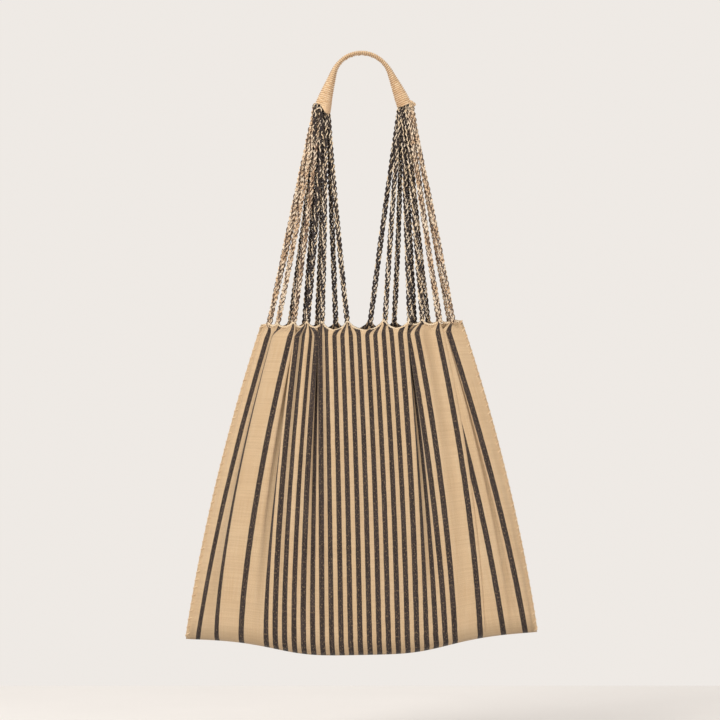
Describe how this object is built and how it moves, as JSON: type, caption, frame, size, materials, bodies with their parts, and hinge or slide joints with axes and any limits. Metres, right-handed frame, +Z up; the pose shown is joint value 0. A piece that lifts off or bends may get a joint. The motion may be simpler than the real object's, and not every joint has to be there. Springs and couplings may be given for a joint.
{
  "type": "woven market bag",
  "caption": "Handwoven striped cotton tote with braided cords gathered into a woven sleeve handle, hung from a hook.",
  "frame": {"origin": "on the underside of the handle at the top of its arch, where it rests on a hook", "axes": "+X to the bag's right as seen from the front, +Y to its back, +Z up; the front faces -Y"},
  "size_m": [0.3986, 0.0183, 0.688],
  "materials": {
    "striped_cloth": "plain handwoven cotton, tan with near-black warp stripes",
    "seam_thread": "cotton thread, overcast",
    "header_thread": "undyed twined cotton",
    "light_braid": "three-strand braid, mostly tan yarn",
    "dark_braid": "three-strand braid, mostly near-black yarn",
    "handle_weave": "tightly woven ribbed sleeve",
    "cord_core": "bundled cotton warp ends"
  },
  "bodies": {
    "handle": {"handle_strap": "handle_weave", "handle_core": "cord_core", "handle_seam": "seam_thread", "handle_end_left": "handle_weave", "handle_end_right": "handle_weave"},
    "bag": {"left_seam": "striped_cloth", "right_seam": "striped_cloth", "left_seam_stitches": "seam_thread", "right_seam_stitches": "seam_thread", "bottom_fold": "striped_cloth"},
    "front_face": {"front_panel": "striped_cloth", "front_header": "header_thread"},
    "back_face": {"back_panel": "striped_cloth", "back_header": "header_thread"},
    "front_cords": {"front_cord_left_1": "light_braid", "front_cord_left_2": "light_braid", "front_cord_left_3": "light_braid", "front_cord_left_4": "dark_braid", "front_cord_left_5": "dark_braid", "front_cord_left_6": "dark_braid", "front_cord_right_1": "dark_braid", "front_cord_right_2": "dark_braid", "front_cord_right_3": "light_braid", "front_cord_right_4": "light_braid", "front_cord_right_5": "light_braid"},
    "back_cords": {"back_cord_left_1": "light_braid", "back_cord_left_2": "light_braid", "back_cord_left_3": "dark_braid", "back_cord_left_4": "dark_braid", "back_cord_left_5": "dark_braid", "back_cord_right_1": "dark_braid", "back_cord_right_2": "dark_braid", "back_cord_right_3": "dark_braid", "back_cord_right_4": "dark_braid", "back_cord_right_5": "light_braid", "back_cord_right_6": "light_braid"}
  },
  "joints": [
    {"name": "bag_swing", "type": "hinge", "parent": "handle", "child": "bag", "pos_m": [0, 0, -0.06236], "axis": [1, 0, 0], "range_deg": [-90, 90]},
    {"name": "mouth_open", "type": "hinge", "parent": "bag", "child": "front_face", "pos_m": [0, 0, -0.68336], "axis": [1, 0, 0], "range_deg": [0, 5], "stiffness_Nm_per_rad": 1, "springref_deg": -1.72},
    {"name": "back_open", "type": "hinge", "parent": "bag", "child": "back_face", "pos_m": [0, 0, -0.68336], "axis": [1, 0, 0], "range_deg": [-5.2, 0]},
    {"name": "front_cords_tilt", "type": "hinge", "parent": "bag", "child": "front_cords", "pos_m": [0, 0, -0.06236], "axis": [1, 0, 0], "range_deg": [-8, 0]},
    {"name": "back_cords_tilt", "type": "hinge", "parent": "bag", "child": "back_cords", "pos_m": [0, 0, -0.06236], "axis": [1, 0, 0], "range_deg": [0, 8]}
  ],
  "couplings": [
    {"joint": "back_open", "follows": "mouth_open", "ratio": -1},
    {"joint": "front_cords_tilt", "follows": "mouth_open", "ratio": -1.5768},
    {"joint": "back_cords_tilt", "follows": "mouth_open", "ratio": 1.5768}
  ]
}
